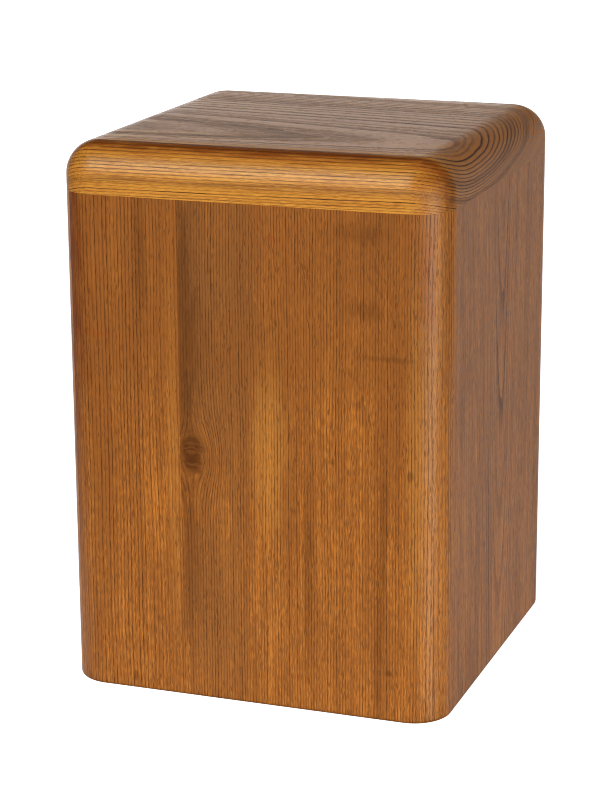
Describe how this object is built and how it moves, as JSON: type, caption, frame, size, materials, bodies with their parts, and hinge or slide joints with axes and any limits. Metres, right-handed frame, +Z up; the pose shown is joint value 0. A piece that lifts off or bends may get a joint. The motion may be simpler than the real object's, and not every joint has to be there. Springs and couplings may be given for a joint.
{
  "type": "cremation urn box",
  "caption": "Rectangular hardwood cremation urn with a thick rounded top board, mitred walls and a screwed base panel; closed, hollow and empty.",
  "frame": {"origin": "middle of the footprint, on the plane of the bottom rims", "axes": "+Z up along the height, +X to the right seen from the front, front wall facing -Y"},
  "size_m": [0.164, 0.167, 0.23],
  "materials": {
    "top_wood": "ring-porous hardwood, brown stain under satin lacquer, grain running from side to side",
    "wall_wood": "ring-porous hardwood, warm brown stain under satin lacquer, grain upright",
    "base_wood": "same hardwood, thinly stained and left matt",
    "screw_brass": "plain brass, slightly dulled"
  },
  "bodies": {
    "root": {"top_board": "top_wood", "front_wall_wide_board": "wall_wood", "front_wall_narrow_board": "wall_wood", "right_wall": "wall_wood", "back_wall": "wall_wood", "left_wall": "wall_wood", "base_panel": "base_wood", "front_screw": "screw_brass", "right_screw": "screw_brass", "back_screw": "screw_brass", "left_screw": "screw_brass"}
  },
  "joints": []
}
